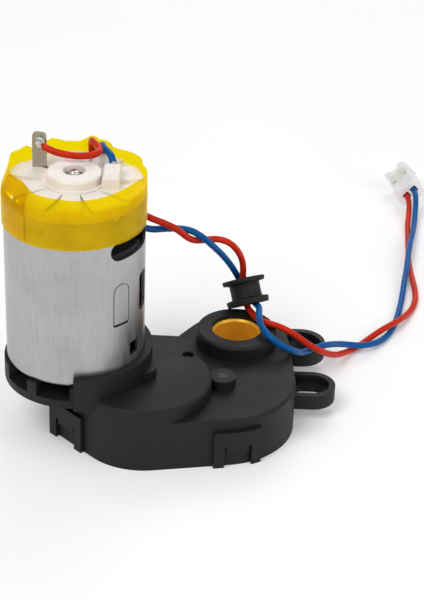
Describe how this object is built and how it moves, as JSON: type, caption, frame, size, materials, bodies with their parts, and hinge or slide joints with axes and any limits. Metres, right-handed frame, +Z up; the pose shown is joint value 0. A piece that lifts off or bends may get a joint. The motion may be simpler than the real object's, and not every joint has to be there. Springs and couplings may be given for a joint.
{
  "type": "gear motor",
  "caption": "Upright brushed can motor on a flat clipped plastic gearbox with a brass-lined output socket, slotted ears, amber tape, colored leads, a rubber grommet and a white plug.",
  "frame": {"origin": "On the flat underside, at the middle of the bounding box of the gearbox and motor.", "axes": "+Z up, along the motor shaft and the output; +X from the motor towards the ears; +Y across."},
  "size_m": [0.0956, 0.1329, 0.062],
  "materials": {
    "housing_plastic": "fine moulded texture, slightly satin",
    "cover_plastic": "fine moulded texture, slightly satin",
    "endbell_plastic": "moulded, off-white, slightly satin",
    "plug_plastic": "moulded natural nylon",
    "washer_plastic": "plain",
    "gear_plastic": "moulded acetal",
    "can_steel": "zinc plated, dull",
    "pin_steel": "ground",
    "shaft_steel": "ground",
    "screw_steel": "black zinc",
    "spring_steel": "plain",
    "core_steel": "stacked laminations",
    "terminal_tin": "tinned brass",
    "contact_brass": "rolled strip",
    "pinion_brass": "turned",
    "sleeve_brass": "oiled bronze, dull",
    "bush_bronze": "sintered, oiled",
    "commutator_copper": "turned copper",
    "copper_wire": "enamelled copper",
    "ferrite": "sintered ferrite",
    "carbon": "pressed carbon",
    "solder": "bright, lumpy",
    "tape_film": "thin amber film, see-through",
    "grommet_rubber": "moulded, dull",
    "red_wire": "smooth wire insulation",
    "blue_wire": "smooth wire insulation"
  },
  "bodies": {
    "gearbox": {"upper_housing": "housing_plastic", "lower_cover": "cover_plastic", "first_gear_pin": "pin_steel", "second_gear_pin": "pin_steel", "housing_dowel": "pin_steel", "motor_screws": "screw_steel", "motor_can": "can_steel", "endbell": "endbell_plastic", "magnets": "ferrite", "magnet_springs": "spring_steel", "front_bearing": "bush_bronze", "rear_bearing": "bush_bronze", "carbon_brushes": "carbon", "brush_arms": "contact_brass", "left_terminal": "terminal_tin", "right_terminal": "terminal_tin", "red_solder": "solder", "blue_solder": "solder", "insulation_tape": "tape_film", "red_lead": "red_wire", "blue_lead": "blue_wire", "grommet": "grommet_rubber", "connector_housing": "plug_plastic", "connector_contacts": "terminal_tin"},
    "armature": {"armature_shaft": "shaft_steel", "armature_core": "core_steel", "windings": "copper_wire", "commutator": "commutator_copper", "shaft_washers": "washer_plastic", "motor_pinion": "pinion_brass"},
    "first_gear": {"first_gear": "gear_plastic"},
    "second_gear": {"second_gear": "gear_plastic"},
    "output": {"output_gear": "gear_plastic", "output_sleeve": "sleeve_brass"}
  },
  "joints": [
    {"name": "armature_turn", "type": "hinge", "parent": "gearbox", "child": "armature", "pos_m": [-0.0196, -0.0054, 0], "axis": [0, 0, 1], "continuous": true},
    {"name": "first_gear_turn", "type": "hinge", "parent": "gearbox", "child": "first_gear", "pos_m": [-0.00552, -0.00979, 0], "axis": [0, 0, 1], "continuous": true},
    {"name": "second_gear_turn", "type": "hinge", "parent": "gearbox", "child": "second_gear", "pos_m": [0.01037, -0.00719, 0], "axis": [0, 0, 1], "continuous": true},
    {"name": "output_turn", "type": "hinge", "parent": "gearbox", "child": "output", "pos_m": [0.01303, 0.01021, 0], "axis": [0, 0, 1], "continuous": true}
  ],
  "couplings": [
    {"joint": "first_gear_turn", "follows": "armature_turn", "ratio": -0.28261},
    {"joint": "second_gear_turn", "follows": "armature_turn", "ratio": 0.13675},
    {"joint": "output_turn", "follows": "armature_turn", "ratio": -0.12486}
  ]
}
